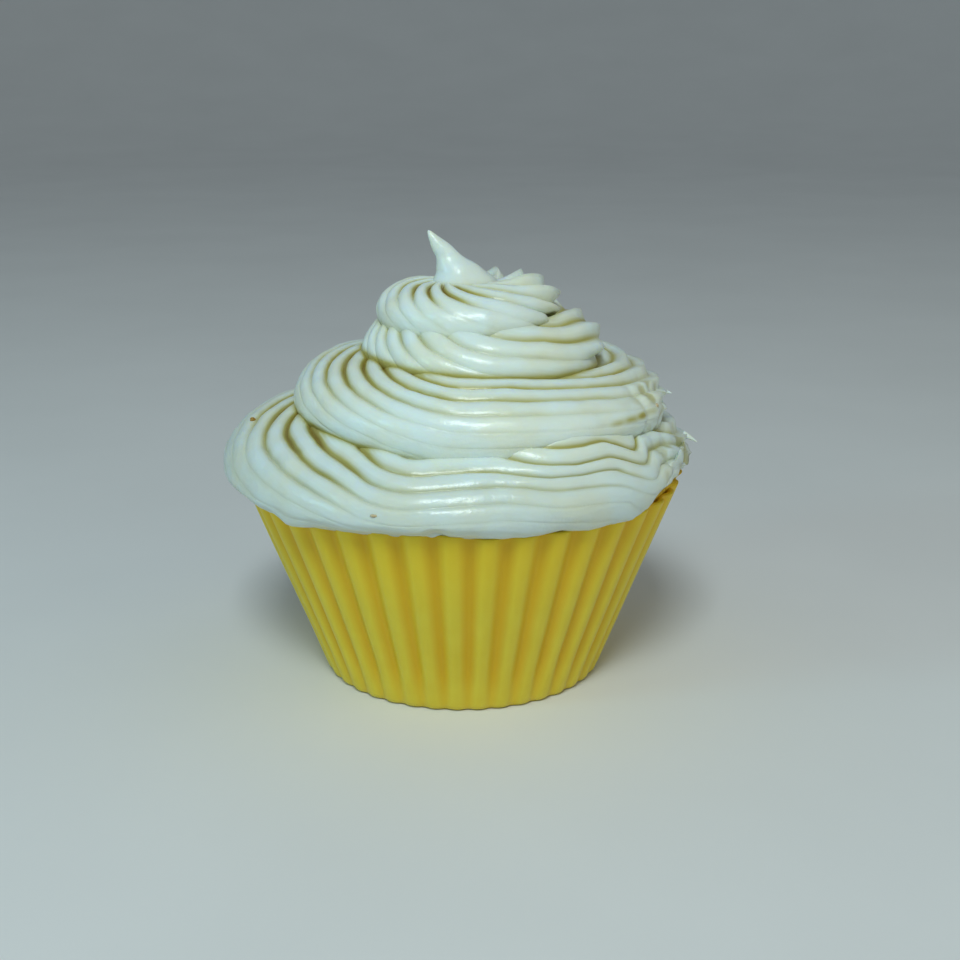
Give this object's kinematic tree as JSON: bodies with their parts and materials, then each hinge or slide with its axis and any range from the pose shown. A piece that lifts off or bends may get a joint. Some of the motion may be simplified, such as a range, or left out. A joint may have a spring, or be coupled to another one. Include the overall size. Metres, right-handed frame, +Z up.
{
  "type": "cupcake",
  "caption": "Cupcake in a fluted silicone case, with a tall swirl of ridged cream frosting that ends in a bent peak.",
  "frame": {"origin": "centre of the case's foot, on the surface that the cupcake stands on", "axes": "+Z up, -Y towards the front, the side the picture shows; the peak bends towards -X"},
  "size_m": [0.0748, 0.0746, 0.0709],
  "materials": {
    "case": "satin yellow silicone",
    "sponge": "baked sponge crumb, golden brown",
    "frosting": "smooth cream frosting with a soft gloss"
  },
  "bodies": {
    "root": {"case": "case", "sponge": "sponge", "frosting": "frosting"}
  },
  "joints": []
}
